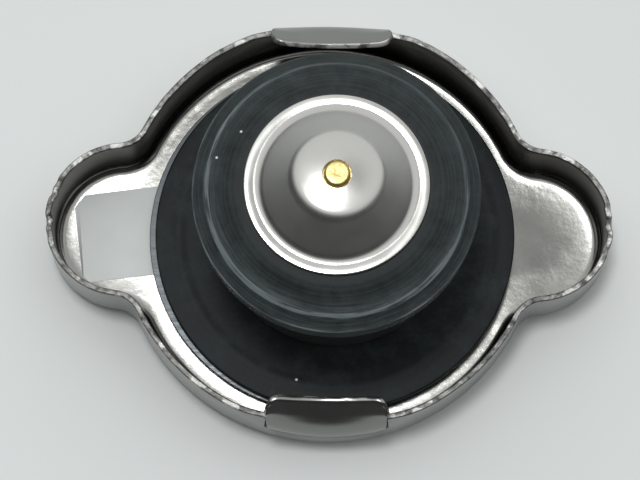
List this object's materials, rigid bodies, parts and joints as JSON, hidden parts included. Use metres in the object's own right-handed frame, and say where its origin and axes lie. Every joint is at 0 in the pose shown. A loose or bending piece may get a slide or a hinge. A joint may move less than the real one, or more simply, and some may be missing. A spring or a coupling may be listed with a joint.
{
  "type": "radiator cap",
  "caption": "Bayonet radiator cap with thumb ears, folded locking lugs, rubber neck seals, a sprung pressure valve and a domed vacuum valve.",
  "frame": {"origin": "middle of the crown's outer face, on which the cap lies", "axes": "+Z from the crown towards the valve, X through the two thumb ears, Y through the two locking lugs"},
  "size_m": [0.0744, 0.0556, 0.034],
  "materials": {
    "plated_sheet": "bright plated, lightly scuffed",
    "plain_steel": "plain",
    "spring_steel": "bright rolled",
    "label_film": "matt film",
    "seal_rubber": "moulded, dusty",
    "stainless": "polished",
    "stem_brass": "turned"
  },
  "bodies": {
    "shell_body": {"shell": "plated_sheet", "rivet": "plain_steel", "spring_disc": "spring_steel", "label": "label_film"},
    "valve_body": {"upper_seal": "seal_rubber", "bell": "stainless", "bell_washer": "plain_steel", "main_spring": "spring_steel"},
    "pressure_body": {"valve_cup": "stainless", "spring_seat": "stainless", "lower_seal": "seal_rubber", "vacuum_spring": "spring_steel"},
    "vacuum_body": {"vacuum_plate": "stainless", "stem": "stem_brass", "stem_clip": "plain_steel"}
  },
  "joints": [
    {"name": "valve_swivel", "type": "hinge", "parent": "shell_body", "child": "valve_body", "pos_m": [0.0008, 0, 0.004], "axis": [0, 0, 1], "continuous": true},
    {"name": "pressure_valve", "type": "slide", "parent": "valve_body", "child": "pressure_body", "axis": [0, 0, -1], "range_m": [0, 0.0032], "stiffness_N_per_m": 300, "springref_m": -0.004, "deforming": ["main_spring"]},
    {"name": "vacuum_valve", "type": "slide", "parent": "pressure_body", "child": "vacuum_body", "axis": [0, 0, 1], "range_m": [0, 0.002], "stiffness_N_per_m": 60, "springref_m": -0.002, "deforming": ["vacuum_spring"]}
  ]
}
